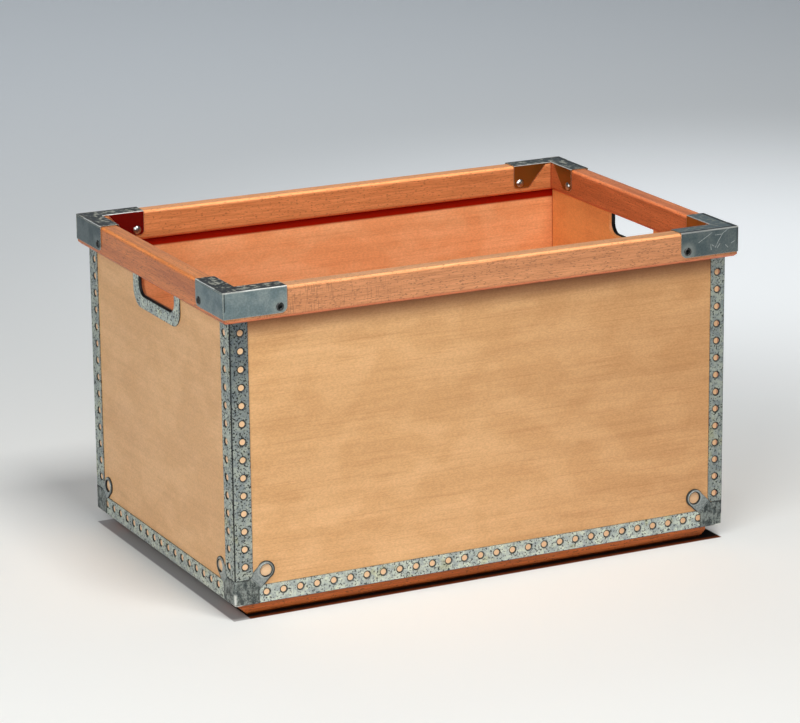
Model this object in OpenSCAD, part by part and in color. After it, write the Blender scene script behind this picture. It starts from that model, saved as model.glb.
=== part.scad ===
// Open-top plywood box with hardwood rim rails, galvanised fittings and two skids.
// The long front side faces -Y and the left end faces -X.
// The origin is the centre of the box in plan, on the floor under the skids.

/* [Box] */
// Length over the metal edge strips
box_l = 578; // [440:1:800]
// Width over the metal edge strips
box_w = 376.5; // [300:0.5:560]
// Height from the underside of the base strips to the top of the rim caps
box_h = 334; // [220:1:460]
// Thickness of the side panels
side_t = 6.5; // [5:0.5:8]
// Thickness of the bottom panel
bottom_t = 8; // [7:0.5:12]

/* [Rim rails] */
// How far the rails stand out past the edge strips
rail_out = 8.9; // [6:0.1:11]
// Width of a rail seen from above
rail_w = 20.6; // [19:0.1:24]
// Height of a rail
rail_h = 32.2; // [31:0.1:40]
// Radius of the rails' upper edges
rail_round = 4; // [2:0.5:6]
// Chamfer on the rails' lower outer edge
rail_chamfer = 2.5; // [1:0.5:3]
// Radius of the rails' lower inner edge
rail_inner_round = 3.5; // [1:0.5:3.5]
// Depth of the groove that takes the panels' top edges
groove_d = 8; // [5:0.5:8]

/* [Rim caps] */
// Thickness of the cap sheet
cap_t = 0.8; // [0.6:0.1:1.2]
// Length of each leg of a cap, from the outer corner
cap_leg = 70; // [66:1:90]
// Height of the outer flanges
cap_outer_h = 27.6; // [26:0.2:30]
// Height of the inner flanges
cap_inner_h = 26.5; // [25:0.5:30]
// Radius at the lower end corner of the outer flanges
cap_round = 7; // [4:1:9]
// Distance of each rivet from the outer corner
rivet_x = 62; // [57:1:62]
// Distance of each rivet below the top of the cap
rivet_z = 21; // [18:0.5:21.5]

/* [Edge strips] */
// Thickness of the strips and of the hand-hold linings
strip_t = 1; // [0.8:0.1:1.4]
// Usual width of a strip's flange
flange_w = 20.5; // [18:0.5:24]
// Narrower flange on the front of the front right strip
narrow_w = 17.7; // [16:0.1:20]
// Distance between two holes
hole_pitch = 19; // [17:0.5:24]
// Distance from the free edge of a flange to its row of holes
hole_edge = 8.2; // [7:0.1:9]
// Clear radius of a punched hole
hole_r = 3.1; // [2:0.1:3.5]
// Width of the dished rim round a punched hole
hole_rim = 1.4; // [0.6:0.1:1.4]
// Radius at the end corners of a flange
strip_round = 7; // [3:0.5:9]

/* [Base corners] */
// Length of a corner piece along each edge
corner_leg = 27; // [26:1:32]
// Radius of a corner piece's outer edges
corner_round = 4; // [2:0.5:6]
// How far a corner piece stands proud of the strips
corner_proud = 0.7; // [0.2:0.1:1]
// Distance of a lug's eyelet from both edges of the box
eyelet_at = 35; // [34:0.5:40]
// Clear radius of an eyelet
eyelet_r = 6.3; // [4:0.1:6.5]
// Half the width of a lug
lug_half = 9.3; // [9:0.1:10]

/* [Hand-holds] */
// Clear width of a hand-hold
hand_w = 92; // [80:1:120]
// Clear height of a hand-hold below the rail
hand_h = 23.5; // [20:0.5:40]
// Corner radius of a hand-hold
hand_round = 11; // [8:1:18]
// Width of the metal lining over both sides
bezel_w = 125; // [124:1:150]
// Height of the metal lining on the outer face
bezel_h = 38; // [30:0.5:60]
// Corner radius of the metal lining
bezel_round = 20; // [12:1:24]
// Depth of the folded lip of the lining
bezel_lip = 5; // [4:0.5:6]
// Radius of the fold from face to lip
bezel_bend = 2.4; // [1.8:0.1:3]
// Chamfer on the wood round the inside of a hand-hold
hand_ease = 2; // [0.5:0.5:2]

/* [Skids] */
// Height of the skids below the box
skid_h = 15.5; // [12:0.5:25]
// Width of a skid
skid_w = 40; // [34:1:60]
// Distance of a skid from the front or back of the box
skid_back = 13.5; // [8:0.5:17]
// Distance of a skid's ends from the ends of the box
skid_inset = 12.5; // [6:0.5:18]
// Chamfer on the lower edge of a skid's ends
skid_chamfer = 7.5; // [3:0.5:10]

/* [Hidden] */
$fn = 48;
hole_fn = 24;

// Working allowances between pieces, and overshoot of the cuts
fit = 0.1;
seam = 0.3;
over = 1;

// Levels
base_z = skid_h;
panel_z = base_z + strip_t;
top_z = base_z + box_h;
rail_z = top_z - cap_t - rail_h;

// Plan of the plywood body, of the wooden rim and of the rim caps
body_l = box_l - 2 * strip_t;
body_w = box_w - 2 * strip_t;
wood_l = box_l + 2 * rail_out;
wood_w = box_w + 2 * rail_out;
rim_l = wood_l + 2 * cap_t;
rim_w = wood_w + 2 * cap_t;
cap_w = rail_w + 2 * cap_t;
panel_h = rail_z + groove_d - fit - panel_z;

// Strips: where they start, and how far their first hole is from that end
strip_from = corner_leg + seam;
upright_l = rail_z - base_z - strip_from;
front_left_first = 13.9;
front_right_first = 9.6;
left_end_first = 12.9;
back_first = 11.5;
long_first = 8.4;
short_first = 15.8;
least_end = 1.2;
side_flange_w = 22.5;
low_flange_w = 19.5;
heel_round = 1.4;

// Corner pieces: wall thickness on the upright faces, radius on the wood under them
corner_t = strip_t + corner_proud;
wood_round = corner_round - strip_t;

// Lugs: where the pressed step lies along the 45 degree line, and how far it sets them back
lug_from = 33.5;
lug_step = 0.3;

// Rivets
head_r = 4.7;
head_h = 2.5;
shank_r = 2.9;
roll_r = 4.3;
hollow_r = 2.2;

// Screws in the skids
screws_per_skid = 4;
screw_head_r = 4;
screw_r = 2;
screw_sink = 1;
screw_grip = 5;
screw_cone = 2.4;

BEECH = "#cf8d55";
PLY = "#d9b178";
ZINC = "#98a19c";
DARK_ZINC = "#6d7674";
SKID = "#93572d";

// Places

// Takes children drawn for the front left corner to the corner on side sx (-1 left,
// 1 right) and sy (-1 front, 1 back)
module at_corner(sx, sy) {
    mirror([sx > 0 ? 1 : 0, 0, 0])
        mirror([0, sy > 0 ? 1 : 0, 0])
            children();
}

module at_all_corners() {
    for (sx = [-1, 1], sy = [-1, 1])
        at_corner(sx, sy) children();
}

// Rivets: z points inwards through the rail and starts at the cap's outer face
module at_rivets() {
    at_all_corners() translate([-rim_l / 2, -rim_w / 2, top_z - rivet_z]) {
        translate([rivet_x, 0, 0]) rotate([-90, 0, 0]) children();
        translate([0, rivet_x, 0]) rotate([0, 90, 0]) children();
    }
}

// Skid screws: z points up and starts on the floor
module at_screws() {
    first = skid_inset + skid_chamfer + 4 * screw_head_r;
    step = (box_l - 2 * first) / (screws_per_skid - 1);
    for (sy = [-1, 1], i = [0 : screws_per_skid - 1])
        translate([first - box_l / 2 + i * step, sy * (box_w - skid_w) / 2 - sy * skid_back, 0])
            children();
}

// Left hand-hold: x runs along the end, y up from the foot of the opening, and z into
// the panel from the lining's outer face
module at_hand_hold() {
    translate([-box_l / 2, 0, rail_z - hand_h]) rotate([90, 0, 90]) children();
}

// Flat shapes that several pieces share

// What a rounding of radius r takes off a corner that points to -x and +y.
// The rounding's centre is at the origin.
module corner_scrap(r) {
    difference() {
        translate([-r - over, 0]) square(r + over);
        circle(r);
    }
}

// U open at the top, w wide and h high, grown outwards by g
module u_outline(w, h, r, g = 0) {
    translate([-w / 2 - g, r]) square([w + 2 * g, h - r]);
    translate([-w / 2 + r, -g]) square([w - 2 * r, r + g]);
    for (side = [-1, 1])
        translate([side * (w / 2 - r), r]) circle(r + g);
}

// Corner of a box with rounded edges, from the corner point out to size s
module rounded_corner(r, s) {
    translate([r, r, r]) {
        sphere(r);
        cylinder(r = r, h = s[2] - r);
        rotate([0, 90, 0]) cylinder(r = r, h = s[0] - r);
        rotate([-90, 0, 0]) cylinder(r = r, h = s[1] - r);
    }
    translate([r, r, 0]) cube([s[0] - r, s[1] - r, s[2]]);
    translate([r, 0, r]) cube([s[0] - r, s[1], s[2] - r]);
    translate([0, r, r]) cube([s[0], s[1] - r, s[2] - r]);
}

// Plywood body

// Wood taken off the body's lower corners, under the corner pieces
module corner_easing() {
    reach = corner_leg - strip_t;
    at_all_corners() translate([-body_l / 2, -body_w / 2, panel_z]) difference() {
        translate([-over, -over, -over]) cube(reach + over);
        rounded_corner(wood_round, [2 * reach, 2 * reach, 2 * reach]);
    }
}

module long_panel() {
    color(PLY) difference() {
        translate([-body_l / 2, -body_w / 2, panel_z]) cube([body_l, side_t, panel_h]);
        corner_easing();
    }
}

module end_panel() {
    color(PLY) difference() {
        translate([-body_l / 2, -body_w / 2 + side_t, panel_z])
            cube([side_t, body_w - 2 * side_t, panel_h]);
        corner_easing();
        at_hand_hold() {
            linear_extrude(strip_t + side_t + over) u_outline(hand_w, hand_h, hand_round);
            along_hand_hold() hand_hold_easing();
        }
    }
}

module bottom_panel() {
    color(PLY) difference() {
        translate([-body_l / 2 + side_t, -body_w / 2 + side_t, panel_z])
            cube([body_l - 2 * side_t, body_w - 2 * side_t, bottom_t]);
        at_screws() cylinder(r = screw_r + fit / 2, h = panel_z + screw_grip + fit);
    }
}

// Hand-holds and their linings

// Sweeps a section along the U of a hand-hold. The section's x runs outwards from the
// clear opening and its y runs into the panel.
module along_hand_hold() {
    rise = hand_h - hand_round;
    run = hand_w - 2 * hand_round;
    translate([hand_w / 2, hand_h, 0]) rotate([90, 0, 0])
        linear_extrude(rise) children();
    translate([-hand_w / 2, hand_round, 0]) rotate([90, 0, 180])
        linear_extrude(rise) children();
    translate([run / 2, 0, 0]) rotate([90, 0, -90])
        linear_extrude(run) children();
    translate([run / 2, hand_round, 0]) rotate([0, 0, -90])
        rotate_extrude(angle = 90) translate([hand_round, 0]) children();
    translate([-run / 2, hand_round, 0]) rotate([0, 0, 180])
        rotate_extrude(angle = 90) translate([hand_round, 0]) children();
}

// Section of the wood cut away round the lining, and eased on the inside
module hand_hold_easing() {
    difference() {
        translate([-over, strip_t - over])
            square([bezel_bend + over, bezel_bend - strip_t + over]);
        translate([bezel_bend, bezel_bend]) circle(bezel_bend - strip_t - fit);
    }
    translate([-over, bezel_bend]) square([strip_t + fit + over, side_t + over]);
    translate([strip_t + fit, strip_t + side_t]) rotate(45)
        square(hand_ease * sqrt(2), center = true);
}

// Section of the lining's fold and lip
module bezel_section() {
    difference() {
        intersection() {
            translate([bezel_bend, bezel_bend]) circle(bezel_bend);
            square(bezel_bend);
        }
        translate([bezel_bend, bezel_bend]) circle(bezel_bend - strip_t);
    }
    translate([0, bezel_bend]) square([strip_t, bezel_lip - bezel_bend]);
}

module handle_bezel() {
    color(ZINC) at_hand_hold() {
        linear_extrude(strip_t) difference() {
            translate([0, hand_h - bezel_h]) u_outline(bezel_w, bezel_h, bezel_round);
            u_outline(hand_w, hand_h + over, hand_round, bezel_bend);
        }
        along_hand_hold() bezel_section();
    }
}

// Rim rails

// Section of a rail: x runs inwards from its outer face and y runs up
module rail_section() {
    r = rail_round;
    c = rail_chamfer;
    difference() {
        union() {
            square([rail_w, rail_h - r]);
            translate([r, 0]) square([rail_w - 2 * r, rail_h]);
            translate([r, rail_h - r]) circle(r);
            translate([rail_w - r, rail_h - r]) circle(r);
        }
        rotate(45) square(c * sqrt(2), center = true);
        translate([rail_w - rail_inner_round, rail_inner_round]) rotate(180)
            corner_scrap(rail_inner_round);
        translate([rail_out + strip_t - fit, -over]) square([side_t + 2 * fit, groove_d + over]);
    }
}

// Rail along the front of a wooden rim of the given length and depth, mitred at both ends
module rail(length, depth) {
    translate([0, -depth / 2, rail_z]) intersection() {
        translate([-length / 2, 0, 0]) rotate([90, 0, 90])
            linear_extrude(length) rail_section();
        linear_extrude(rail_h) polygon([
            [-length / 2, 0], [length / 2, 0],
            [length / 2 - rail_w, rail_w], [-length / 2 + rail_w, rail_w]
        ]);
    }
}

module rivet_bores() {
    at_rivets() cylinder(r = shank_r + fit, h = 2 * cap_w + over, center = true);
}

module long_rail() {
    color(BEECH) difference() {
        rail(wood_l, wood_w);
        rivet_bores();
    }
}

module end_rail() {
    color(BEECH) difference() {
        rotate(-90) rail(wood_w, wood_l);
        rivet_bores();
    }
}

// Rim caps

// Section of a cap's leg: a channel open at the foot, folded with rounded upper edges
module cap_section() {
    fold = 1.2;
    difference() {
        union() {
            translate([0, -cap_outer_h]) square([cap_w, cap_outer_h - fold]);
            translate([fold, -cap_outer_h]) square([cap_w - 2 * fold, cap_outer_h]);
            translate([fold, -fold]) circle(fold);
            translate([cap_w - fold, -fold]) circle(fold);
        }
        translate([cap_t, -cap_outer_h - over])
            square([cap_w - 2 * cap_t, cap_outer_h - cap_t + over]);
    }
}

// Side view of the outer flange and of the inner one, with the top plate's edge
module outer_flange() {
    difference() {
        translate([0, -cap_outer_h]) square([cap_leg, cap_outer_h]);
        translate([cap_leg - cap_round, cap_round - cap_outer_h])
            rotate(180) corner_scrap(cap_round);
    }
}

module inner_flange() {
    foot_round = 5;
    foot_from = 51;
    top_from = 28;
    difference() {
        polygon([
            [top_from, 0], [foot_from, -cap_inner_h], [cap_leg, -cap_inner_h], [cap_leg, 0]
        ]);
        translate([cap_leg - foot_round, foot_round - cap_inner_h])
            rotate(180) corner_scrap(foot_round);
    }
    translate([0, -cap_t]) square([cap_leg, cap_t]);
}

// One leg of a cap, along X from the outer corner
module cap_arm() {
    half = cap_w / 2;
    intersection() {
        rotate([90, 0, 90]) linear_extrude(cap_leg) cap_section();
        union() {
            translate([0, half, 0]) rotate([90, 0, 0]) linear_extrude(half) outer_flange();
            translate([0, cap_w, 0]) rotate([90, 0, 0]) linear_extrude(half) inner_flange();
        }
    }
}

// Cap for the front left corner: two arms, the seams where the blank meets, rivet holes
module rim_cap() {
    gap = 0.35;
    seam_h = 0.75 * cap_outer_h;
    color(DARK_ZINC) translate([-rim_l / 2, -rim_w / 2, top_z]) difference() {
        union() {
            cap_arm();
            mirror([1, -1, 0]) cap_arm();
        }
        translate([-over, cap_t, -seam_h]) cube([cap_t + over, gap, seam_h - 2 * cap_t]);
        translate([-over, cap_t, -2 * cap_t - gap]) cube([cap_t / 2 + over, cap_leg, gap]);
        for (turn = [0, 1]) mirror([turn, -turn, 0])
            translate([rivet_x, 0, -rivet_z]) rotate([90, 0, 0])
                cylinder(r = shank_r + fit, h = 3 * cap_w, center = true);
    }
}

// Semi-tubular rivet: domed head inside, hollow end rolled over outside
module rivet() {
    dome_r = (head_r * head_r + head_h * head_h) / (2 * head_h);
    roll = (roll_r - hollow_r) / 2;
    hollow_d = 6;
    difference() {
        union() {
            cylinder(r = shank_r, h = cap_w);
            rotate_extrude() intersection() {
                translate([0, cap_w + head_h - dome_r]) circle(dome_r);
                translate([0, cap_w]) square([head_r, head_h]);
            }
            rotate_extrude() intersection() {
                translate([hollow_r + roll, 0]) circle(roll);
                translate([hollow_r, -roll]) square([2 * roll, roll]);
            }
        }
        translate([0, 0, -over]) cylinder(r = hollow_r, h = hollow_d + over);
    }
}

module rim_rivets() {
    color(ZINC) at_rivets() rivet();
}

// Perforated strips

// Hole of clear radius r in a sheet t thick whose outer face is at z = 0, dished by rim
module dished_hole(r, rim, t) {
    slope = rim / t;
    translate([0, 0, -t - over])
        cylinder(r1 = r - slope * over, r2 = r + rim + slope * over, h = t + 2 * over);
}

// Flat flange: x along the strip, y up from the heel, outer face at z = 0
module flange(length, width, first, round_far) {
    r = strip_round;
    count = floor((length - first - least_end) / hole_pitch) + 1;
    difference() {
        translate([0, 0, -strip_t]) linear_extrude(strip_t) difference() {
            square([length, width]);
            translate([r, width - r]) corner_scrap(r);
            if (round_far)
                translate([length - r, width - r]) mirror([1, 0]) corner_scrap(r);
        }
        for (i = [0 : count - 1])
            translate([first + i * hole_pitch, width - hole_edge, 0])
                dished_hole(hole_r, hole_rim, strip_t, $fn = hole_fn);
    }
}

// Perforated angle with its heel on the X axis. Flange a stands up and faces -Y, and
// flange b lies flat and faces -Z.
module perforated_angle(length, width_a, width_b, first_a, first_b, round_far = true) {
    r = heel_round;
    color(ZINC) difference() {
        union() {
            rotate([90, 0, 0]) flange(length, width_a, first_a, round_far);
            mirror([0, 0, 1]) flange(length, width_b, first_b, round_far);
        }
        translate([-over, 0, 0]) rotate([90, 0, 90]) linear_extrude(length + 2 * over)
            difference() {
                translate([-over, -over]) square(r + over);
                translate([r, r]) circle(r);
            }
    }
}

// Upright strip at the front left corner
module edge_strip(width_long, width_end, first_long, first_end) {
    translate([-box_l / 2, -box_w / 2, base_z + strip_from]) mirror([1, 0, -1])
        perforated_angle(upright_l, width_long, width_end, first_long, first_end, false);
}

module long_base_strip() {
    translate([-box_l / 2 + strip_from, -box_w / 2, base_z])
        perforated_angle(box_l - 2 * strip_from, low_flange_w, flange_w,
            long_first, long_first);
}

// Drawn at the left, with its holes counted from the front
module end_base_strip() {
    translate([-box_l / 2, -box_w / 2 + strip_from, base_z]) mirror([1, -1, 0])
        perforated_angle(box_w - 2 * strip_from, flange_w, flange_w,
            short_first, short_first);
}

// Base corners

// End of a strip's flange, grown by the seam, with its heel on the x axis from x = 0
module grown_flange_end(width) {
    reach = 2 * eyelet_at;
    r = strip_round + seam;
    h = width + seam;
    translate([r, -over]) square([reach, h + over]);
    translate([0, -over]) square([r, h - r + over]);
    translate([r, h - r]) circle(r);
}

// Lug at 45 degrees, clear of the base strip and of the upright strip
module lug_outline(width_base, width_upright) {
    difference() {
        union() {
            rotate(45) translate([corner_leg / 2, -lug_half])
                square([eyelet_at * sqrt(2) - corner_leg / 2, 2 * lug_half]);
            translate([eyelet_at, eyelet_at]) circle(lug_half + 0.5);
        }
        translate([corner_leg, 0]) grown_flange_end(width_base);
        mirror([1, -1]) translate([corner_leg, 0]) grown_flange_end(width_upright);
    }
}

// Plate of a lug, outer face at z = 0
module lug_plate(width_base, width_upright) {
    translate([0, 0, -corner_t]) linear_extrude(corner_t)
        lug_outline(width_base, width_upright);
}

// Takes children drawn with z outwards to the front face of a corner piece, and to its
// end face
module on_both_faces() {
    for (turn = [0, 1])
        mirror([turn, -turn, 0]) translate([0, -corner_proud, 0]) rotate([90, 0, 0])
            children();
}

// What comes off a corner piece's face at z = 0: the step down to the lug, and the eyelet
module lug_cuts() {
    dish = 0.2;
    half = lug_half + over;
    rotate(45) translate([lug_from, -half, -lug_step]) cube([eyelet_at, 2 * half, over]);
    translate([eyelet_at, eyelet_at, 0]) dished_hole(eyelet_r, dish, corner_t);
}

// Rolled lip round an eyelet
module eyelet_lip() {
    lip_at = 7.2;
    lip_r = 0.7;
    translate([eyelet_at, eyelet_at, -lug_step]) rotate_extrude() intersection() {
        translate([lip_at, 0]) circle(lip_r);
        translate([lip_at - lip_r, -lip_r / 2]) square([2 * lip_r, 2 * lip_r]);
    }
}

// Three-way pressed corner for the front left corner, with a lug on both upright faces
module base_corner(width_long, width_end) {
    reach = corner_leg + corner_proud;
    color(DARK_ZINC) translate([-box_l / 2, -box_w / 2, base_z]) {
        difference() {
            union() {
                difference() {
                    translate([-corner_proud, -corner_proud, -corner_proud])
                        rounded_corner(corner_round, [reach, reach, reach]);
                    translate([strip_t, strip_t, strip_t])
                        rounded_corner(wood_round, [reach, reach, reach]);
                }
                translate([0, -corner_proud, 0]) rotate([90, 0, 0])
                    lug_plate(low_flange_w, width_long);
                mirror([1, -1, 0]) translate([0, -corner_proud, 0]) rotate([90, 0, 0])
                    lug_plate(flange_w, width_end);
            }
            on_both_faces() lug_cuts();
        }
        on_both_faces() eyelet_lip();
    }
}

// Skids

// Skid under the front, its top let over the strips and corner pieces
module skid() {
    c = 2.5;
    length = box_l - 2 * skid_inset;
    height = panel_z;
    e = skid_chamfer;
    clear = flange_w + seam;
    color(SKID) difference() {
        translate([0, -box_w / 2 + skid_back, 0]) intersection() {
            translate([-length / 2, 0, 0]) rotate([90, 0, 90]) linear_extrude(length)
                polygon([[c, 0], [skid_w - c, 0], [skid_w, c], [skid_w, height],
                         [0, height], [0, c]]);
            translate([0, skid_w, 0]) rotate([90, 0, 0]) linear_extrude(skid_w)
                polygon([[-length / 2 + e, 0], [length / 2 - e, 0], [length / 2, e],
                         [length / 2, height], [-length / 2, height], [-length / 2, e]]);
        }
        translate([-box_l / 2, -box_w / 2, base_z]) cube([box_l, clear, 2 * strip_t]);
        for (side = [-1, 1]) mirror([side > 0 ? 1 : 0, 0, 0])
            translate([-box_l / 2, -box_w / 2, base_z]) {
                cube([clear, box_w, 2 * strip_t]);
                translate([0, 0, -corner_proud]) cube([strip_from, strip_from, 2 * strip_t]);
            }
        at_screws() screw_bore();
    }
}

module screw_bore() {
    r = screw_head_r + fit;
    translate([0, 0, -over]) cylinder(r = r, h = screw_sink + over);
    translate([0, 0, screw_sink]) cylinder(r1 = r, r2 = screw_r + fit, h = screw_cone);
    cylinder(r = screw_r + fit, h = 2 * panel_z);
}

// Countersunk screw with a cross recess
module screw() {
    recess_l = 4.4;
    recess_w = 1;
    recess_d = 1.6;
    difference() {
        union() {
            translate([0, 0, screw_sink])
                cylinder(r1 = screw_head_r, r2 = screw_r, h = screw_cone);
            translate([0, 0, screw_sink])
                cylinder(r = screw_r, h = panel_z + screw_grip - screw_sink);
        }
        for (turn = [0, 90]) rotate(turn)
            translate([-recess_l / 2, -recess_w / 2, screw_sink - over])
                cube([recess_l, recess_w, recess_d + over]);
    }
}

module skid_screws() {
    color(ZINC) at_screws() screw();
}

long_panel();  // front_panel
at_corner(-1, 1) long_panel();  // back_panel
end_panel();  // left_end_panel
at_corner(1, -1) end_panel();  // right_end_panel
bottom_panel();

long_rail();  // front_rail
at_corner(-1, 1) long_rail();  // back_rail
end_rail();  // left_rail
at_corner(1, -1) end_rail();  // right_rail

rim_cap();  // rim_cap_front_left
at_corner(1, -1) rim_cap();  // rim_cap_front_right
at_corner(-1, 1) rim_cap();  // rim_cap_back_left
at_corner(1, 1) rim_cap();  // rim_cap_back_right
rim_rivets();

edge_strip(flange_w, side_flange_w, front_left_first, left_end_first);  // edge_strip_front_left
at_corner(1, -1) edge_strip(narrow_w, side_flange_w, front_right_first, back_first);  // edge_strip_front_right
at_corner(-1, 1) edge_strip(flange_w, side_flange_w, back_first, left_end_first);  // edge_strip_back_left
at_corner(1, 1) edge_strip(flange_w, flange_w, back_first, back_first);  // edge_strip_back_right

long_base_strip();  // base_strip_front
at_corner(-1, 1) long_base_strip();  // base_strip_back
end_base_strip();  // base_strip_left
at_corner(1, -1) end_base_strip();  // base_strip_right

base_corner(flange_w, side_flange_w);  // base_corner_front_left
at_corner(1, -1) base_corner(narrow_w, side_flange_w);  // base_corner_front_right
at_corner(-1, 1) base_corner(flange_w, side_flange_w);  // base_corner_back_left
at_corner(1, 1) base_corner(flange_w, flange_w);  // base_corner_back_right

handle_bezel();  // handle_bezel_left
at_corner(1, -1) handle_bezel();  // handle_bezel_right

skid();  // front_skid
at_corner(-1, 1) skid();  // back_skid
skid_screws();
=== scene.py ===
"""Looks of an open-top plywood box with metal fittings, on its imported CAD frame."""
import math

import bpy
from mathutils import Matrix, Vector


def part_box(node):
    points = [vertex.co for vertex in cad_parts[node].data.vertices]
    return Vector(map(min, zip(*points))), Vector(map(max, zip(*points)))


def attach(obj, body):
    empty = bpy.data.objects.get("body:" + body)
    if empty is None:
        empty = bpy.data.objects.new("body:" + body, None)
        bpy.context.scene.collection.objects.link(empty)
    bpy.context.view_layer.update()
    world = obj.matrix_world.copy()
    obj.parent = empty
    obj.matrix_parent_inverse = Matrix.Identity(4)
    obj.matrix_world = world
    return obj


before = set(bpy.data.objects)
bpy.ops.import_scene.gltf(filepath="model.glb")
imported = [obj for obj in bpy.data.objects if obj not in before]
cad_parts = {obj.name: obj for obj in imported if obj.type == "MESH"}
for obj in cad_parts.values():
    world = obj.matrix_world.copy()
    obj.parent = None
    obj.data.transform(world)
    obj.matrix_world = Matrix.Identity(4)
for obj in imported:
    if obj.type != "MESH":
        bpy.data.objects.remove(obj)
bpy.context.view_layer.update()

MM = 0.001
QUARTER = math.pi / 2
SIDES = ("front", "back", "left", "right")
# Each corner's signs in X and Y
CORNERS = {
    "front_left": (-1, -1),
    "front_right": (1, -1),
    "back_left": (-1, 1),
    "back_right": (1, 1),
}

# Camera, in metres and degrees in the row frame
CAMERA_AT = (-1.6720, -3.3761, 1.2435)
CAMERA_AIM = (-0.0029, 0.0062, 0.1902)
CAMERA_ROLL = -0.61
LENS_MM = 162.14

# Lamps: place, aim and size in metres, power in watts and colour
LAMPS = {
    "key": ((0.05, -1.5, 3.2), (0.0, 0.0, 0.15), 1.1, 73.0, (1.0, 0.98, 0.95)),
    "fill": ((-2.4, -2.0, 1.8), (0.0, 0.0, 0.15), 2.0, 71.0, (1.0, 0.99, 0.97)),
    "back": ((0.7, 2.7, 2.8), (0.6, 3.3, 0.0), 2.0, 19.0, (0.95, 0.98, 1.0)),
}
ROOM_LIGHT = (0.096, 0.104, 0.115)

# Middle of a pool of painted light, a glow on the paper behind the right end
GLOW_AT = (1.0, 0.84, 0.0)

# Rivets of the rim caps: distance from the corner and below the top
RIVET_IN = 62 * MM
RIVET_DOWN = 21 * MM

# Distance from a lug's end to the middle of its eyelet
LUG_END = 9.8 * MM

WHITE = (1.0, 1.0, 1.0)
# Dirt in the wood's joints, also used as painted shade under the rails
JOINT_DIRT_AND_SHADE = (0.30, 0.008, 0.0015)
# Dirt on metal, also used as painted shade in hollows, rims, slits and along edges
METAL_DIRT_AND_SHADE = (0.018, 0.02, 0.022)
# Bare rubbed metal, also used as painted highlight along the caps' folded top edges
WORN_AND_HIGHLIGHT_METAL = (0.86, 0.87, 0.82)
# Painted light: paler wood where the panels show through the metal's holes and eyelets, and its
# strength
HOLE_LIGHT_WOOD = (0.90, 0.62, 0.38)
HOLE_LIGHT_AMOUNT = 0.65

# A joint's dark line: how far from the joint it starts to fade and where it ends
JOINT_LINE = (0.3 * MM, 0.9 * MM)

# Y in millimetres of the faces that carry single marks
PANEL_FACE = -188
CAP_FACE = -198


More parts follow.
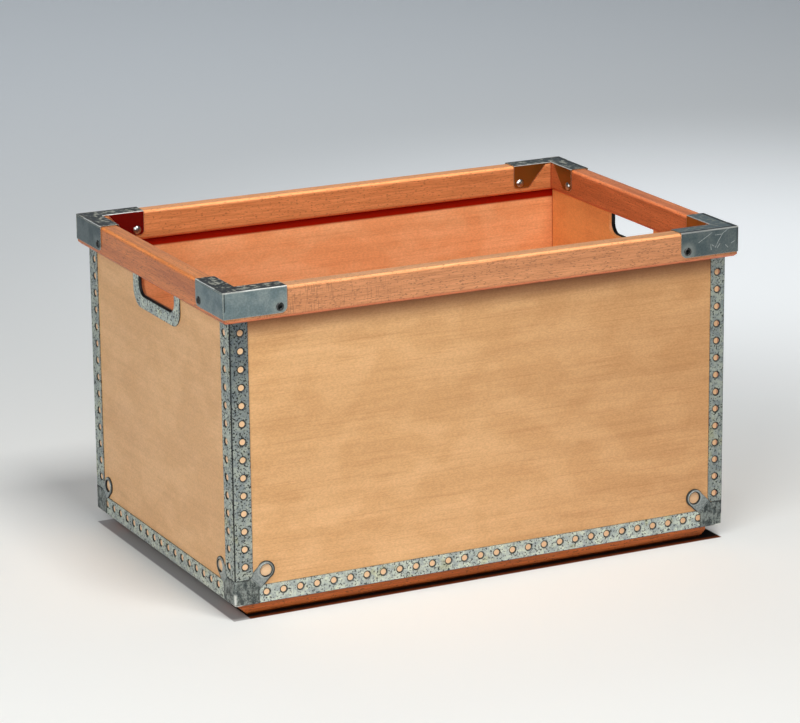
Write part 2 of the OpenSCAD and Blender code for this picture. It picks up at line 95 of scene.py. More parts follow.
class Graph:
    """The nodes of one material, with short calls for the kinds used here."""

    def __init__(self, name):
        self.material = bpy.data.materials.new(name)
        self.material.use_nodes = True
        self.tree = self.material.node_tree
        self.tree.nodes.clear()
        self.place = self.node("ShaderNodeTexCoord").outputs["Object"]
        self.facing = self.node("ShaderNodeNewGeometry").outputs["True Normal"]

    def node(self, kind, **sockets):
        """A new node. Each socket is given by name, as a value or as another node's output."""
        made = self.tree.nodes.new(kind)
        for name, value in sockets.items():
            self.put(made.inputs[name.replace("_", " ")], value)
        return made

    def put(self, socket, value):
        if isinstance(value, bpy.types.NodeSocket):
            self.tree.links.new(value, socket)
        elif socket.type == "RGBA" and len(value) == 3:
            socket.default_value = (*value, 1.0)
        else:
            socket.default_value = value

    def math(self, operation, a, b=0.0, clamp=False):
        made = self.tree.nodes.new("ShaderNodeMath")
        made.operation = operation
        made.use_clamp = clamp
        self.put(made.inputs[0], a)
        self.put(made.inputs[1], b)
        return made.outputs[0]

    def vector(self, operation, a, b, scale=None):
        made = self.tree.nodes.new("ShaderNodeVectorMath")
        made.operation = operation
        self.put(made.inputs[0], a)
        if scale is None:
            self.put(made.inputs[1], b)
        else:
            self.put(made.inputs["Scale"], scale)
        number = operation in ("DOT_PRODUCT", "DISTANCE", "LENGTH")
        return made.outputs["Value" if number else "Vector"]

    def grain(self, size, turn=0.0, shift=0.0):
        """The place counted in grains of the given three sizes, turned about Z."""
        made = self.node("ShaderNodeMapping", Vector=self.place)
        made.vector_type = "TEXTURE"
        made.inputs["Location"].default_value = (shift, shift, shift)
        made.inputs["Rotation"].default_value = (0.0, 0.0, turn)
        made.inputs["Scale"].default_value = size
        return made.outputs["Vector"]

    def noise(self, vector, detail=2.0, roughness=0.5, distortion=0.0, scale=1.0):
        return self.node("ShaderNodeTexNoise", Vector=vector, Scale=scale, Detail=detail,
                         Roughness=roughness, Distortion=distortion).outputs["Fac"]

    def spots(self, size, detail=2.0, roughness=0.5):
        """Even noise with features of one size in metres."""
        return self.noise(self.place, detail, roughness, scale=1.0 / size)

    def span(self, value, low, high, to_low=0.0, to_high=1.0):
        """value taken from low..high to to_low..to_high, smoothly and held at the ends."""
        made = self.tree.nodes.new("ShaderNodeMapRange")
        made.interpolation_type = "SMOOTHSTEP"
        for index, number in enumerate((value, low, high, to_low, to_high)):
            self.put(made.inputs[index], number)
        return made.outputs["Result"]

    def mix(self, amount, a, b, blend="MIX"):
        made = self.tree.nodes.new("ShaderNodeMix")
        made.data_type = "RGBA"
        made.blend_type = blend
        self.put(made.inputs["Factor"], amount)
        self.put(made.inputs[6], a)
        self.put(made.inputs[7], b)
        return made.outputs[2]

    def vary(self, color, value, low, high, deep, pale):
        """color multiplied by deep where value is low, up to pale where it is high."""
        return self.mix(1.0, color, self.mix(self.span(value, low, high), deep, pale), "MULTIPLY")

    def part(self, vector, axis):
        return self.node("ShaderNodeSeparateXYZ", Vector=vector).outputs[axis]

    def axis(self, name):
        """One coordinate, X, Y or Z, in metres."""
        return self.part(self.place, name)

    def faces(self, direction):
        """1 on surfaces that face the direction."""
        return self.span(self.vector("DOT_PRODUCT", self.facing, direction), 0.4, 0.7)

    def slopes(self):
        """1 on surfaces that lean away from all three axes, such as punched rims."""
        sides = [self.math("ABSOLUTE", self.part(self.facing, name)) for name in "XYZ"]
        most = self.math("MAXIMUM", self.math("MAXIMUM", sides[0], sides[1]), sides[2])
        return self.span(most, 0.9, 0.98, 1.0, 0.0)

    def crevice(self, reach):
        """How open a surface is for reach metres: 1 in the open, 0.5 deep in a corner."""
        made = self.node("ShaderNodeAmbientOcclusion", Distance=reach)
        made.samples = 6
        return made.outputs["AO"]

    def edge(self, radius):
        """1 along folds and cut edges within about radius metres."""
        soft = self.tree.nodes.new("ShaderNodeBevel")
        soft.samples = 4
        soft.inputs["Radius"].default_value = radius
        same = self.vector("DOT_PRODUCT", soft.outputs["Normal"], self.facing)
        return self.span(same, 0.80, 0.985, 1.0, 0.0)

    def near(self, spot, inner, outer):
        """1 within inner metres of a place, 0 past outer metres."""
        return self.span(self.vector("DISTANCE", self.place, spot), inner, outer, 1.0, 0.0)

    def stripe(self, distance, near, far):
        """1 where a distance lies between near and far millimetres."""
        return self.math("MULTIPLY", self.span(distance, (near - 0.3) * MM, (near + 0.3) * MM),
                         self.span(distance, (far - 0.3) * MM, (far + 0.3) * MM, 1.0, 0.0))

    def stroke(self, face, start, end, width):
        """1 on a thin straight mark on the face at Y face, its ends X and Z in millimetres."""
        start = Vector((start[0], face, start[1])) * MM
        run = Vector((end[0], face, end[1])) * MM - start
        offset = self.vector("SUBTRACT", self.place, start)
        along = self.math("MULTIPLY", self.vector("DOT_PRODUCT", offset, run),
                          1.0 / run.length_squared, clamp=True)
        foot = self.vector("SCALE", run, None, scale=along)
        apart = self.vector("DISTANCE", offset, foot)
        return self.span(apart, 0.3 * width * MM, width * MM, 1.0, 0.0)

    def bump(self, height, depth, radius=0.0):
        """A normal from a height of 0..1 that stands for depth metres, with soft edges."""
        made = self.node("ShaderNodeBump", Height=height, Distance=depth, Strength=1.0)
        if radius:
            edge = self.tree.nodes.new("ShaderNodeBevel")
            edge.samples = 4
            edge.inputs["Radius"].default_value = radius
            self.tree.links.new(edge.outputs["Normal"], made.inputs["Normal"])
        return made.outputs["Normal"]

    def surface(self, color, roughness, normal, metallic=0.0, specular=0.5,
                glow=WHITE, strength=0.0):
        shader = self.node("ShaderNodeBsdfPrincipled", Base_Color=color, Roughness=roughness,
                           Metallic=metallic, Normal=normal, Specular_IOR_Level=specular,
                           Emission_Color=glow, Emission_Strength=strength)
        out = self.tree.nodes.new("ShaderNodeOutputMaterial")
        self.tree.links.new(shader.outputs["BSDF"], out.inputs["Surface"])
        return self.material


def times(color, factor):
    return tuple(c * factor for c in color)


def outer_corner(name, signs):
    """A corner fitting's box, and the X and Y of its two outer faces."""
    low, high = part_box(name)
    out_x = high[0] if signs[0] > 0 else low[0]
    out_y = high[1] if signs[1] > 0 else low[1]
    return low, high, out_x, out_y


def plywood(name, turn, shift, inward, outer, inner, joint=None, covered=None):
    """Pale rotary-cut veneer: soft clouds, drawn-out growth lines and fine pores.

    joint is the axis across the panel and where the next panel meets it. covered is where metal
    covers the wood: past a distance along that axis, below a height, and round an eyelet.
    """
    g = Graph(name)
    cloud = g.noise(g.grain((0.055, 0.05, 0.032), turn, shift), 4.0, 0.55, 0.4)
    wave = g.noise(g.grain((0.26, 0.012, 0.012), turn, shift), 3.0, 0.55, 0.5)
    line = g.noise(g.grain((0.09, 0.0016, 0.0016), turn, shift), 2.0, 0.5)
    pore = g.noise(g.grain((0.0030, 0.0015, 0.0015), turn, shift), 2.0, 0.7)
    fibre = g.noise(g.grain((0.016, 0.0008, 0.0008), turn, shift), 2.0, 0.6)
    tint = g.span(cloud, 0.38, 0.62)
    inside = g.faces(inward)
    outside = g.math("SUBTRACT", 1.0, inside)
    # The inner faces take other colours, painted more orange as lit by light the walls reflect
    color = g.mix(inside, g.mix(tint, *outer), g.mix(tint, *inner))
    if turn:
        wave_dark, line_dark = (0.97, 0.95, 0.93), (0.96, 0.94, 0.92)
    else:
        wave_dark, line_dark = (0.94, 0.91, 0.87), (0.92, 0.87, 0.83)
    color = g.vary(color, wave, 0.35, 0.68, (1.03, 1.03, 1.03), wave_dark)
    color = g.vary(color, line, 0.50, 0.72, WHITE, line_dark)
    color = g.vary(color, pore, 0.34, 0.66, (1.07, 1.08, 1.10), (0.93, 0.92, 0.90))
    if covered:
        # Painted light on the wood under the metal, seen through the strips' holes and the eyelets
        strip_side, strip_top, eyelet_across, eyelet_up = covered
        across = g.math("ABSOLUTE", g.axis(joint[0]))
        beside = g.math("SUBTRACT", across, strip_side)
        below = g.math("SUBTRACT", strip_top, g.axis("Z"))
        hole_light = g.span(g.math("MAXIMUM", beside, below), 0.0, 1 * MM, 0.0, HOLE_LIGHT_AMOUNT)
        flat = g.node("ShaderNodeCombineXYZ", X=across, Y=g.axis("Z")).outputs["Vector"]
        ringed = g.vector("DISTANCE", flat, (eyelet_across, eyelet_up, 0.0))
        hole_light = g.math("MAXIMUM", hole_light, g.span(ringed, 6 * MM, 8 * MM, HOLE_LIGHT_AMOUNT, 0.0))
        hole_light = g.math("MULTIPLY", hole_light, outside)
        color = g.mix(hole_light, color, HOLE_LIGHT_WOOD)
    below_rail = g.math("SUBTRACT", RAIL_FOOT, g.axis("Z"))
    specular = 0.5
    if name == "front_panel":
        # Darker towards the right end: partly the veneer's tone, partly painted falloff of the
        # light
        color = g.vary(color, g.axis("X"), -0.12, 0.28, WHITE, (0.87, 0.81, 0.76))
        color = marked(g, color, pore)
    if name in ("front_panel", "back_panel"):
        # Painted shadow of the rail: a dark band with little specular on the inner face, and the
        # outer face darkened for 24 mm below the rail
        band = g.math("MULTIPLY", inside, g.span(below_rail, 7.5 * MM, 10.5 * MM, 1.0, 0.0))
        color = g.mix(band, color, JOINT_DIRT_AND_SHADE)
        specular = g.span(band, 0.0, 1.0, 0.5, 0.03)
        shade = g.math("MULTIPLY", outside, g.span(below_rail, 0.0, 24 * MM, 1.0, 0.0))
        color = g.mix(shade, color, (0.44, 0.29, 0.18), "MULTIPLY")
        # Painted light: the bottom of the panel lighter, as lit from the floor
        color = g.vary(color, g.axis("Z"), 0.05, 0.20, (1.08, 1.09, 1.12), WHITE)
    if joint:
        apart = g.math("SUBTRACT", g.math("ABSOLUTE", g.axis(joint[0])), joint[1])
        color = g.mix(g.span(g.math("ABSOLUTE", apart), *JOINT_LINE, 0.7, 0.0), color, JOINT_DIRT_AND_SHADE)
    return g.surface(color, 0.42, g.bump(fibre, 0.03 * MM, 0.3 * MM), specular=specular)


def marked(g, color, pore):
    """Three dark dents and three pale scratches on the front panel."""
    dents = (((18, 83.6), (28, 84.2), 0.9), ((95, 60.2), (125, 60.6), 0.7),
             ((-160, 72.0), (-120, 73.0), 0.5))
    for start, end, width in dents:
        mark = g.math("MULTIPLY", g.stroke(PANEL_FACE, start, end, width), 0.7)
        color = g.mix(mark, color, (0.16, 0.05, 0.02))
    scratches = (((116, 221), (181, 256)), ((79, 149), (92, 126)), ((-247, 124), (-205, 133)))
    for start, end in scratches:
        mark = g.math("MULTIPLY", g.stroke(PANEL_FACE, start, end, 0.6), g.span(pore, 0.4, 0.6))
        color = g.mix(g.math("MULTIPLY", mark, 0.5), color, (0.86, 0.66, 0.44))
    return color


def beech(name, turn, shift, pale, dark, arris_wear_and_highlight=0.0, cross=False):
    """Straight-grained beech with short dark flecks.

    arris_wear_and_highlight is how much paler a rail's arrises are, partly from wear and partly
    painted highlight, and 0 for a skid. cross adds short dark ticks across the grain at the left.
    """
    g = Graph(name)
    band = g.noise(g.grain((0.30, 0.011, 0.011), turn, shift), 4.0, 0.6, 0.3)
    fibre = g.noise(g.grain((0.026, 0.0010, 0.0010), turn, shift), 2.0, 0.6)
    fleck = g.noise(g.grain((0.0036, 0.0013, 0.0012), turn, shift), 1.0, 0.5)
    color = g.mix(g.span(band, 0.36, 0.64), pale, dark)
    color = g.vary(color, fibre, 0.34, 0.66, (1.12, 1.13, 1.15), (0.86, 0.82, 0.78))
    color = g.mix(g.span(fleck, 0.60, 0.68, 0.0, 0.7), color, times(dark, 0.5))
    if cross:
        ray = g.noise(g.grain((0.0011, 0.0011, 0.016), turn, shift), 1.0, 0.5)
        left = g.span(g.axis("X"), -0.19, -0.05, 0.6, 0.0)
        tick = g.math("MULTIPLY", g.span(ray, 0.56, 0.68), left)
        color = g.mix(tick, color, times(dark, 0.55))
    if arris_wear_and_highlight:
        across = g.math("ABSOLUTE", g.axis("X"))
        apart = g.math("SUBTRACT", across, g.math("ABSOLUTE", g.axis("Y")))
        apart = g.math("ABSOLUTE", g.math("SUBTRACT", apart, MITRE))
        color = g.mix(g.span(apart, *JOINT_LINE, 0.8, 0.0), color, JOINT_DIRT_AND_SHADE)
        # Painted shade: the rail darkened for 5 mm above its foot
        foot = g.math("SUBTRACT", g.axis("Z"), RAIL_FOOT)
        color = g.mix(g.span(foot, 0.0, 5 * MM, 0.55, 0.0), color, times(JOINT_DIRT_AND_SHADE, 1.2))
        # Painted highlight, partly wear, on the rounded arrises, and painted light on the tops
        color = g.vary(color, g.slopes(), 0.0, 1.0, WHITE, times((1.0, 0.97, 0.97), arris_wear_and_highlight))
        color = g.vary(color, g.faces((0, 0, 1)), 0.0, 1.0, WHITE, (1.2, 1.35, 1.35))
    else:
        # Painted shade: the skid darkened towards its foot
        color = g.vary(color, g.axis("Z"), 0.0, 6 * MM, (0.35, 0.30, 0.28), WHITE)
    return g.surface(color, 0.36, g.bump(fibre, 0.04 * MM, 0.4 * MM))


def zinc(name, tone, heel=None, lip=None):
    """Dull galvanised sheet: crystal pattern, dark specks, and painted shade as dark rings round
    punched holes and dark outlines along its edges.

    heel is the X of the fold of a strip that is darker at the top. lip is the distance from the
    middle at which a bezel turns inward, and how far its inner wall is painted dark as shade from
    there; past that the wall is painted warm as a reflection of the wood.
    """
    g = Graph(name)
    cells = g.node("ShaderNodeTexVoronoi", Vector=g.place, Scale=420.0)
    crystal = g.part(cells.outputs["Color"], "X")
    patch = g.spots(11 * MM, 3.0, 0.6)
    speck = g.spots(2.3 * MM, 3.0, 0.6)
    stain = g.spots(18 * MM, 2.0, 0.5)
    color = g.mix(g.span(patch, 0.38, 0.62), times((0.60, 0.65, 0.58), tone),
                  times((0.42, 0.47, 0.46), tone))
    color = g.vary(color, crystal, 0.0, 1.0, (0.84, 0.86, 0.90), (1.10, 1.10, 1.05))
    color = g.mix(g.span(stain, 0.60, 0.70, 0.0, 0.45), color, times((0.56, 0.56, 0.30), tone))
    if heel:
        # Painted shade: the front face darker towards the top
        shade = g.math("MULTIPLY", g.span(g.axis("Z"), 0.14, 0.33, 0.15, 0.75), g.faces((0, -1, 0)))
        color = g.mix(shade, color, times((0.07, 0.10, 0.13), tone))
    speckled = 0.53 if heel else 0.555
    color = g.mix(g.span(speck, speckled, speckled + 0.06, 0.0, 0.92), color, METAL_DIRT_AND_SHADE)
    # Painted shade on the punched rims
    color = g.mix(g.math("MULTIPLY", g.slopes(), g.span(patch, 0.3, 0.6, 1.0, 0.75)), color, METAL_DIRT_AND_SHADE)
    if heel:
        inset = g.math("ABSOLUTE", g.math("SUBTRACT", g.axis("X"), heel))
        line = g.span(inset, 1.0 * MM, 1.9 * MM, 0.85, 0.0)
        color = g.mix(g.math("MULTIPLY", line, g.faces((0, -1, 0))), color, METAL_DIRT_AND_SHADE)
    # Painted shade along folds and cut edges
    color = g.mix(g.math("MULTIPLY", g.edge(1.1 * MM), 0.85), color, METAL_DIRT_AND_SHADE)
    if lip:
        lip_at, dark_to = lip
        depth = g.math("SUBTRACT", lip_at, g.math("ABSOLUTE", g.axis("X")))
        # Painted shade on the turned edge, then a painted reflection of the wood
        wall = g.mix(g.span(depth, dark_to, dark_to + 0.8 * MM), METAL_DIRT_AND_SHADE, (0.62, 0.24, 0.10))
        color = g.mix(g.span(depth, -0.2 * MM, 0.2 * MM), color, wall)
    rough = g.span(patch, 0.3, 0.7, 0.44, 0.58)
    return g.surface(color, rough, g.bump(speck, 0.04 * MM), metallic=0.8)


def cap_zinc(name, tone, signs, inner, halo, top_reflection_tone, sheen):
    """Smooth darkened sheet of a folded rim cap, rubbed pale round its rivets and on top.

    inner is its colour inside the box, a painted reflection of the wood, halo the strength of the
    rubbed marks, and top_reflection_tone and sheen are the tone of its top, set as a painted
    reflection of the room, and the metallic value of its top.
    """
    g = Graph(name)
    low, high, out_x, out_y = outer_corner(name, signs)
    top = high[2]
    patch = g.spots(17 * MM, 3.0, 0.55)
    fine = g.spots(2.2 * MM, 3.0, 0.65)
    color = g.mix(g.span(patch, 0.38, 0.62), times((0.265, 0.32, 0.32), tone),
                  times((0.19, 0.25, 0.26), tone))
    color = g.vary(color, fine, 0.34, 0.66, (1.12, 1.12, 1.12), (0.84, 0.86, 0.88))
    for spot in ((out_x - signs[0] * RIVET_IN, out_y, top - RIVET_DOWN),
                 (out_x, out_y - signs[1] * RIVET_IN, top - RIVET_DOWN)):
        rubbed = g.math("MULTIPLY", g.near(spot, 4 * MM, 13 * MM), halo)
        color = g.mix(rubbed, color, (0.50, 0.53, 0.49))
    # Painted shade: the outer face at the end darker
    endward = g.faces((signs[0], 0, 0))
    color = g.vary(color, endward, 0.0, 1.0, WHITE, (0.80, 0.84, 0.86))
    upward = g.faces((0, 0, 1))
    rub = g.math("MULTIPLY", g.span(g.spots(6 * MM, 4.0, 0.65), 0.50, 0.60), 0.6)
    # The top's tone is set as a painted reflection of the room
    plate = g.mix(rub, times((0.115, 0.155, 0.165), top_reflection_tone), (0.66, 0.66, 0.54))
    color = g.mix(upward, color, plate)
    # Painted reflection of the wood on the inner faces
    inward = g.math("MAXIMUM", g.faces((-signs[0], 0, 0)), g.faces((0, -signs[1], 0)))
    color = g.mix(g.math("MULTIPLY", inward, 0.95), color, inner)
    if name == "rim_cap_front_right":
        color = scratched(g, color, fine)
    # Painted shade in crevices
    open_sky = g.crevice(6 * MM)
    color = g.mix(g.span(open_sky, 0.55, 0.85, 0.8, 0.0), color, METAL_DIRT_AND_SHADE)
    color = g.mix(g.math("MULTIPLY", g.edge(1.0 * MM), 0.8), color, (0.74, 0.74, 0.62))
    color = g.mix(g.math("MULTIPLY", g.slopes(), 0.8), color, (0.80, 0.84, 0.82))
    from_end = g.math("ABSOLUTE", g.math("SUBTRACT", g.axis("X"), out_x))
    from_face = g.math("ABSOLUTE", g.math("SUBTRACT", g.axis("Y"), out_y))
    low_down = g.math("SUBTRACT", g.axis("Z"), low[2])
    # Painted shade in the slit of the outer fold
    seam = g.math("MULTIPLY", g.stripe(from_end, 0.8, 2.0), g.span(low_down, 7 * MM, 9 * MM))
    seam = g.math("MULTIPLY", seam, g.faces((0, signs[1], 0)))
    color = g.mix(g.math("MULTIPLY", seam, 0.75), color, METAL_DIRT_AND_SHADE)
    # Painted shade on the top, just behind the raised outer edges
    for inset in (from_end, from_face):
        stripe = g.math("MULTIPLY", g.stripe(inset, 1.6, 5.0), upward)
        color = g.mix(g.math("MULTIPLY", stripe, 0.85), color, METAL_DIRT_AND_SHADE)
    # Painted highlight, partly wear: a bright line at the top of the outer face
    from_top = g.math("SUBTRACT", top, g.axis("Z"))
    arris = g.math("MULTIPLY", g.span(from_face, 1.4 * MM, 1.8 * MM, 1.0, 0.0),
                   g.span(from_top, 0.9 * MM, 1.6 * MM, halo + 0.3, 0.0))
    color = g.mix(arris, color, WORN_AND_HIGHLIGHT_METAL)
    rough = g.span(patch, 0.3, 0.7, 0.30, 0.42)
    metallic = g.span(upward, 0.0, 1.0, 0.85, sheen)
    specular = g.span(upward, 0.0, 1.0, 0.5, 0.6 * sheen)
    normal = g.bump(fine, 0.02 * MM, 0.5 * MM)
    return g.surface(color, rough, normal, metallic=metallic, specular=specular)


def scratched(g, color, fine):
    """Fine pale scratches on the outer flange of the front right cap."""
    scratches = (((270.5, 329.5), (274, 336)), ((274, 336), (279.5, 344)),
                 ((265.5, 327.5), (264.5, 333)), ((250, 337), (266, 346)),
                 ((270, 343), (279, 343)), ((290, 332), (294, 334)),
                 ((269, 331), (266, 333)), ((273, 329), (276, 333)),
                 ((283, 331), (286, 328)), ((279.5, 344), (286, 348)))
    for start, end in scratches:
        broken = g.span(fine, 0.36, 0.56, 0.1, 0.6)
        mark = g.math("MULTIPLY", g.stroke(CAP_FACE, start, end, 0.55), broken)
        color = g.mix(mark, color, (0.80, 0.84, 0.82))
    return color


def corner_zinc(name, tone, signs):
    """Mottled pressing with smooth lugs, scratches, bright arrises of wear and painted highlight,
    and painted shade as dark outlines and a dark ring in each eyelet.
    """
    g = Graph(name)
    low, high, out_x, out_y = outer_corner(name, signs)
    along = g.math("ADD", g.math("ABSOLUTE", g.math("SUBTRACT", g.axis("X"), out_x)),
                   g.math("ABSOLUTE", g.math("SUBTRACT", g.axis("Y"), out_y)))
    up = g.math("SUBTRACT", g.axis("Z"), low[2])
    flat = g.node("ShaderNodeCombineXYZ", X=along, Y=up).outputs["Vector"]
    out, rise = high[0] - low[0] - LUG_END, high[2] - low[2] - LUG_END
    eyelet = g.vector("DISTANCE", flat, (out, rise, 0.0))
    aside = g.math("ABSOLUTE", g.math("SUBTRACT", g.math("SUBTRACT", along, up), out - rise))
    beyond = g.math("SUBTRACT", g.math("ADD", along, up), out + rise)
    lug = g.span(g.math("ADD", along, up), 47.5 * MM, 48.7 * MM)
    patch = g.noise(g.grain((0.005, 0.005, 0.008)), 4.0, 0.65)
    speck = g.spots(1.9 * MM, 3.0, 0.65)
    veins = g.node("ShaderNodeTexVoronoi", Vector=g.place, Scale=300.0)
    veins.feature = "DISTANCE_TO_EDGE"
    veined = g.math("MULTIPLY", g.span(veins.outputs["Distance"], 0.03, 0.10, 1.0, 0.0),
                    g.span(g.spots(10 * MM), 0.46, 0.56))
    body = g.mix(g.span(patch, 0.42, 0.60), times((0.33, 0.37, 0.35), tone),
                 times((0.10, 0.12, 0.12), tone))
    body = g.mix(g.span(speck, 0.54, 0.64, 0.0, 0.7), body, METAL_DIRT_AND_SHADE)
    body = g.mix(g.math("MULTIPLY", veined, 0.6), body, METAL_DIRT_AND_SHADE)
    smooth = g.vary(times((0.36, 0.40, 0.39), tone), speck, 0.34, 0.66,
                    (1.2, 1.2, 1.2), (0.75, 0.77, 0.8))
    color = g.mix(lug, body, smooth)
    ring = g.math("MULTIPLY", g.stripe(eyelet, 7.3, 8.6), 0.7)
    color = g.mix(ring, color, times((0.62, 0.66, 0.64), tone))
    # Painted shade in the eyelet
    color = g.mix(g.span(eyelet, 6.9 * MM, 7.5 * MM, 0.95, 0.0), color, METAL_DIRT_AND_SHADE)
    # Painted shade along the lug's edges and all cut edges
    side_line = g.math("MULTIPLY", g.span(aside, 12.0 * MM, 12.8 * MM), lug)
    end_line = g.math("MULTIPLY", g.span(eyelet, 8.7 * MM, 9.3 * MM),
                      g.span(beyond, -1 * MM, 1 * MM))
    outline = g.math("MAXIMUM", g.math("MAXIMUM", side_line, end_line), g.edge(0.8 * MM))
    color = g.mix(g.math("MULTIPLY", outline, 0.85), color, METAL_DIRT_AND_SHADE)
    # Bright arris at the heel and along the foot: wear, partly painted highlight
    arris_wear_and_highlight = g.math("MULTIPLY", g.span(along, 2.8 * MM, 4.0 * MM, 0.95, 0.0),
                  g.span(up, 12 * MM, 15 * MM, 1.0, 0.0))
    foot = g.math("MULTIPLY", g.span(up, 1.6 * MM, 2.4 * MM, 0.9, 0.0),
                  g.span(along, 9 * MM, 13 * MM, 1.0, 0.0))
    color = g.mix(g.math("MAXIMUM", arris_wear_and_highlight, foot), color, WORN_AND_HIGHLIGHT_METAL)
    rough = g.span(patch, 0.3, 0.7, 0.42, 0.56)
    return g.surface(color, rough, g.bump(speck, 0.04 * MM, 0.4 * MM), metallic=0.8)


def steel(name, color, roughness, rim=None):
    """Plated steel of small fasteners, painted dark as shade in its hollows and, outside the rim,
    darker all over.
    """
    g = Graph(name)
    mark = g.spots(1.4 * MM, 3.0, 0.6)
    tint = g.mix(g.span(mark, 0.45, 0.7), color, times(color, 0.45))
    if rim:
        past_x = g.math("SUBTRACT", g.math("ABSOLUTE", g.axis("X")), rim[0])
        past_y = g.math("SUBTRACT", g.math("ABSOLUTE", g.axis("Y")), rim[1])
        outside = g.span(g.math("MAXIMUM", past_x, past_y), -0.4 * MM, 0.0)
        tint = g.mix(outside, tint, times(color, 0.16))
    # Painted shade in the hollows
    tint = g.mix(g.span(g.crevice(4 * MM), 0.35, 0.75, 0.7, 0.0), tint, METAL_DIRT_AND_SHADE)
    return g.surface(tint, roughness, g.bump(mark, 0.03 * MM, 0.2 * MM), metallic=1.0)


def paint(nodes, material):
    for name in nodes:
        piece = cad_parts[name]
        piece.data.materials.clear()
        piece.data.materials.append(material)
        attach(piece, "root")


# Distance from the X side to the Y side at which the rails' mitres lie
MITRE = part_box("front_rail")[1][0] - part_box("left_rail")[1][1]
RAIL_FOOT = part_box("front_rail")[0][2]

INWARD = {"front": (0, 1, 0), "back": (0, -1, 0), "left": (1, 0, 0), "right": (-1, 0, 0)}
OUTER_PLY = ((0.71, 0.41, 0.185), (0.65, 0.36, 0.152))
# Inner faces painted more orange and saturated, as lit by light the box's walls reflect onto each
# other
INNER_PLY_BOUNCE_LIT = {
    "front": ((0.88, 0.40, 0.165), (0.80, 0.34, 0.135)),
    "back": ((0.92, 0.45, 0.21), (0.87, 0.38, 0.16)),
    "left": ((0.88, 0.40, 0.165), (0.80, 0.34, 0.135)),
    "right": ((0.82, 0.335, 0.10), (0.76, 0.285, 0.08)),
}
# Pale and dark wood of each rail, and how much paler its arrises are, partly from wear and
# partly painted highlight
RAIL_WOOD = {
    "front": ((0.63, 0.27, 0.116), (0.54, 0.221, 0.091), 1.55),
    "back": ((0.73, 0.28, 0.104), (0.62, 0.225, 0.078), 1.5),
    "left": ((0.60, 0.19, 0.049), (0.44, 0.123, 0.031), 1.15),
    "right": ((0.61, 0.168, 0.054), (0.49, 0.124, 0.038), 1.35),
}
SKID_WOOD = ((0.95, 0.225, 0.028), (0.74, 0.16, 0.018))

# Where metal covers the panels: the edge strips' inner sides on the long and the end panels,
# the base strips' top, and the middles of the eyelets
edge_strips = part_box("edge_strip_front_left"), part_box("edge_strip_front_right")
beside_long = max(-edge_strips[0][1][0], edge_strips[1][0][0])
beside_end = max(-strip[1][1] for strip in edge_strips)
base_strip_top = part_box("base_strip_front")[1][2] - 1 * MM
lug_end = Vector(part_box("base_corner_front_left")[1]) - Vector((LUG_END, LUG_END, LUG_END))
covered_long = (beside_long, base_strip_top, -lug_end.x, lug_end.z)
covered_end = (beside_end, base_strip_top, -lug_end.y, lug_end.z)

for index, side in enumerate(SIDES):
    if side in ("left", "right"):
        turn, panel, covered = QUARTER, side + "_end_panel", covered_end
        joint = ("Y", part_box("back_panel")[0][1])
    else:
        turn, panel, covered = 0.0, side + "_panel", covered_long
        joint = ("X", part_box("right_end_panel")[0][0])
    paint([panel], plywood(panel, turn, 0.37 * index, INWARD[side], OUTER_PLY, INNER_PLY_BOUNCE_LIT[side],
                           joint, covered))
    rail = side + "_rail"
    paint([rail], beech(rail, turn, 0.53 * index, *RAIL_WOOD[side], side == "front"))
paint(["bottom_panel"],
      plywood("bottom_panel", 0.0, 3.1, (0, 0, 1), OUTER_PLY, INNER_PLY_BOUNCE_LIT["front"]))
for index, side in enumerate(("front", "back")):
    skid = side + "_skid"
    paint([skid], beech(skid, 0.0, 5.0 + index, *SKID_WOOD))

STRIP_TONES = {
    "edge_strip_front_left": 0.92,
    "edge_strip_front_right": 0.76,
    "edge_strip_back_left": 0.85,
    "edge_strip_back_right": 0.85,
    "base_strip_front": 1.18,
    "base_strip_back": 1.2,
    "base_strip_left": 1.0,
    "base_strip_right": 1.0,
}
for name, tone in STRIP_TONES.items():
    heel = edge_strips[0][0][0] if name == "edge_strip_front_left" else None
    paint([name], zinc(name, tone, heel))

# Tone of each bezel, and how far its turned edge is painted dark as shade
BEZELS = {"handle_bezel_left": (1.1, 2.6 * MM), "handle_bezel_right": (1.0, 20 * MM)}
bezel_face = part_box("handle_bezel_right")[1][0] - 0.2 * MM
for name, (tone, dark_to) in BEZELS.items():
    paint([name], zinc(name, tone, lip=(bezel_face, dark_to)))

# Each cap's tone, colour inside the box as a painted reflection of the wood, strength of rubbed
# marks, and top's tone, set as a painted reflection of the room, and sheen
CAPS = {
    "front_left": (1.08, (0.20, 0.09, 0.03), 0.3, 0.12, 0.3),
    "front_right": (0.62, (0.30, 0.15, 0.02), 0.45, 1.9, 0.85),
    "back_left": (0.62, (0.28, 0.007, 0.003), 0.3, 0.2, 0.3),
    "back_right": (0.7, (0.34, 0.15, 0.02), 0.3, 0.4, 0.4),
}
for corner, signs in CORNERS.items():
    cap = "rim_cap_" + corner
    tone, *marks = CAPS[corner]
    paint([cap], cap_zinc(cap, tone, signs, *marks))
    foot = "base_corner_" + corner
    tone = 0.84 if signs[0] > 0 else 0.9
    paint([foot], corner_zinc(foot, tone, signs))
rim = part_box("rim_cap_back_right")[1]
paint(["rim_rivets"], steel("rivet steel", (0.50, 0.51, 0.50), 0.3, rim))
paint(["skid_screws"], steel("screw steel", (0.5, 0.5, 0.48), 0.35))


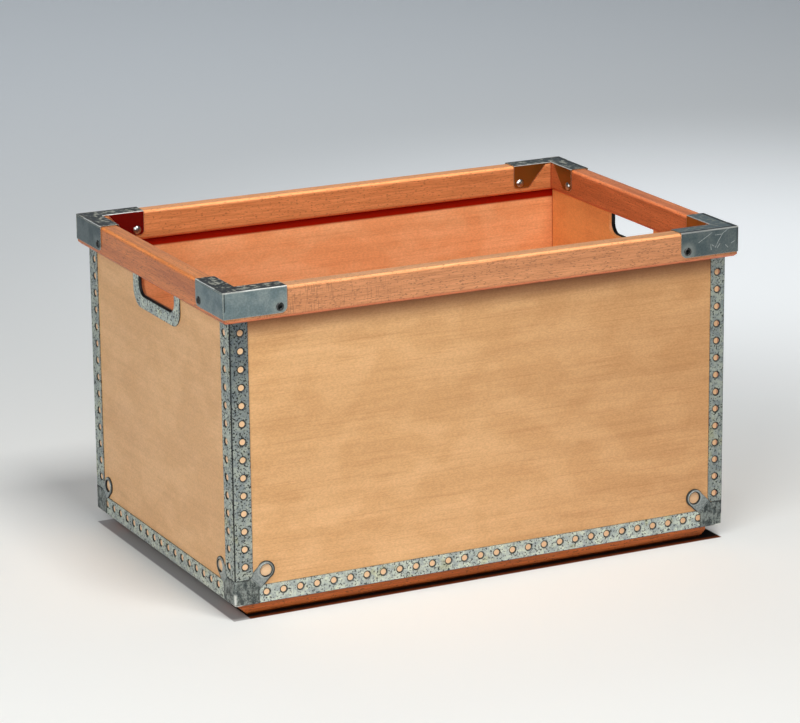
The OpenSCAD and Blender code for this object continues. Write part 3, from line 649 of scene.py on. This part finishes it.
def footprint(g, color):
    """The paper's color with the shade under the box: grey, and black round the front skid."""
    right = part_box("base_corner_front_right")[1][0]
    front = -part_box("base_strip_front")[0][1] - 1.5 * MM
    skid_low, skid_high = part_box("front_skid")
    under = 1.0
    for axis, edge in (("X", right), ("Y", front)):
        inside = g.span(g.math("ABSOLUTE", g.axis(axis)), edge - 1 * MM, edge + 1 * MM, 1.0, 0.0)
        under = g.math("MULTIPLY", inside, under)
    from_front = g.math("ADD", g.axis("Y"), front)
    black = g.math("MULTIPLY", g.span(g.axis("X"), skid_low[0] + 4 * MM, skid_low[0] + 6 * MM),
                   g.span(g.axis("Y"), skid_high[1] - 3 * MM, skid_high[1], 1.0, 0.0))
    # Painted shade, brown near the front edge as painted light bounced from the wood, near black
    # further under
    shade = g.mix(g.span(from_front, 4 * MM, 9 * MM), (0.12, 0.026, 0.006), (0.008, 0.004, 0.003))
    shade = g.mix(black, (0.38, 0.37, 0.37), shade)
    return g.mix(under, color, shade)


def sweep():
    """Seamless paper: a floor that curves up into a low backdrop."""
    back_y, radius, wall_top, front_y, half = 4.2, 1.0, 1.9, -4.5, 6.0
    line = [(front_y, 0.0), (back_y, 0.0)]
    for step in range(1, 13):
        a = QUARTER * step / 12
        line.append((back_y + radius * math.sin(a), radius * (1 - math.cos(a))))
    line.append((back_y + radius, wall_top))
    points = [(x, y, z) for y, z in line for x in (-half, half)]
    faces = [(i, i + 1, i + 3, i + 2) for i in range(0, len(points) - 2, 2)]
    mesh = bpy.data.meshes.new("sweep")
    mesh.from_pydata(points, [], faces)
    made = bpy.data.objects.new("sweep", mesh)
    bpy.context.collection.objects.link(made)
    g = Graph("paper")
    # Painted light: the paper paler and bluer towards the back
    color = g.mix(g.span(g.axis("Y"), 0.0, 3.0), (0.845, 0.86, 0.85), (0.85, 0.895, 0.935))
    ray = g.node("ShaderNodeLightPath").outputs
    seen = g.math("MAXIMUM", g.math("MAXIMUM", ray["Is Camera Ray"], ray["Is Glossy Ray"]),
                  ray["Is Transmission Ray"])
    # Painted light: a glow seen by camera, glossy and transmission rays
    glow = g.math("MULTIPLY", g.near(GLOW_AT, 0.1, 1.15), g.math("MULTIPLY", seen, 0.33))
    grit = g.bump(g.spots(3 * MM), 0.05 * MM)
    mesh.materials.append(g.surface(footprint(g, color), 0.9, grit, specular=0.1,
                                    glow=(0.95, 1.0, 1.06), strength=glow))


def light():
    for name, (at, aim, size, power, color) in LAMPS.items():
        data = bpy.data.lights.new(name, "AREA")
        data.size = size
        data.energy = power
        data.color = color
        made = bpy.data.objects.new(name, data)
        made.location = at
        made.rotation_euler = (Vector(aim) - Vector(at)).to_track_quat("-Z", "Y").to_euler()
        bpy.context.collection.objects.link(made)
    world = bpy.data.worlds.new("room")
    world.use_nodes = True
    world.node_tree.nodes["Background"].inputs["Color"].default_value = (*ROOM_LIGHT, 1.0)
    bpy.context.scene.world = world


def camera():
    data = bpy.data.cameras.new("camera")
    data.lens = LENS_MM
    data.sensor_width = 36.0
    data.clip_end = 100.0
    made = bpy.data.objects.new("camera", data)
    made.location = CAMERA_AT
    aim = (Vector(CAMERA_AIM) - Vector(CAMERA_AT)).to_track_quat("-Z", "Y")
    made.rotation_euler = aim.to_euler()
    made.rotation_euler.rotate_axis("Z", math.radians(CAMERA_ROLL))
    bpy.context.collection.objects.link(made)
    bpy.context.scene.camera = made


sweep()
light()
camera()
bpy.context.scene.view_settings.view_transform = "Standard"
